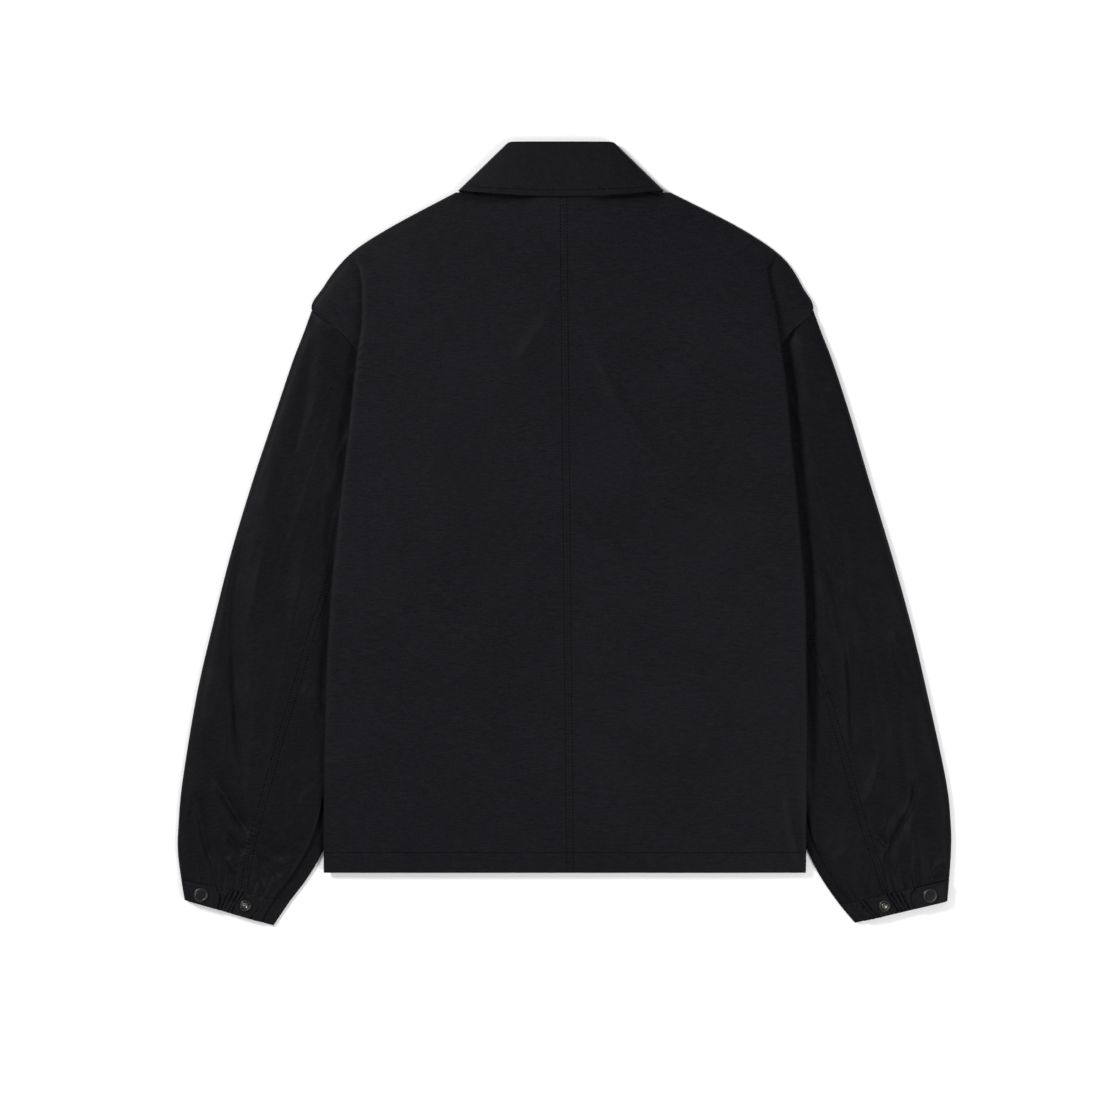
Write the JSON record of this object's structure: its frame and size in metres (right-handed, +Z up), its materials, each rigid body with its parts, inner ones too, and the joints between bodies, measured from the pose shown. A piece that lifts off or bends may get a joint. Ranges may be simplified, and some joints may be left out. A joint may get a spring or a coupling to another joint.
{
  "type": "cropped jacket",
  "caption": "Cropped nylon jacket laid flat with its back up, with a folded collar, full sleeves and gathered snap cuffs",
  "frame": {"origin": "centre of the footprint, on the surface that the jacket lies on", "axes": "+Z up, +Y towards the collar, +X to the right seen from above; the wearer's left is at -X"},
  "size_m": [0.7514, 0.7609, 0.024],
  "materials": {
    "body_cloth": "black nylon, soft sheen",
    "sleeve_cloth": "black nylon, soft sheen",
    "collar_cloth": "black nylon, soft sheen",
    "snap_metal": "black lacquer on brass"
  },
  "bodies": {
    "root": {"back_left": "body_cloth", "front_left": "body_cloth", "sleeve_left_upper": "sleeve_cloth", "sleeve_left_under": "sleeve_cloth", "cuff_left": "sleeve_cloth", "cuff_tab_left": "sleeve_cloth", "snap_cap_left": "snap_metal", "snap_socket_left": "snap_metal", "back_right": "body_cloth", "front_right": "body_cloth", "sleeve_right_upper": "sleeve_cloth", "sleeve_right_under": "sleeve_cloth", "cuff_right": "sleeve_cloth", "cuff_tab_right": "sleeve_cloth", "snap_cap_right": "snap_metal", "snap_socket_right": "snap_metal", "collar_fall": "collar_cloth", "collar_stand": "collar_cloth", "front_snap_1": "snap_metal", "front_snap_2": "snap_metal", "front_snap_3": "snap_metal", "front_snap_4": "snap_metal", "front_snap_5": "snap_metal"}
  },
  "joints": []
}
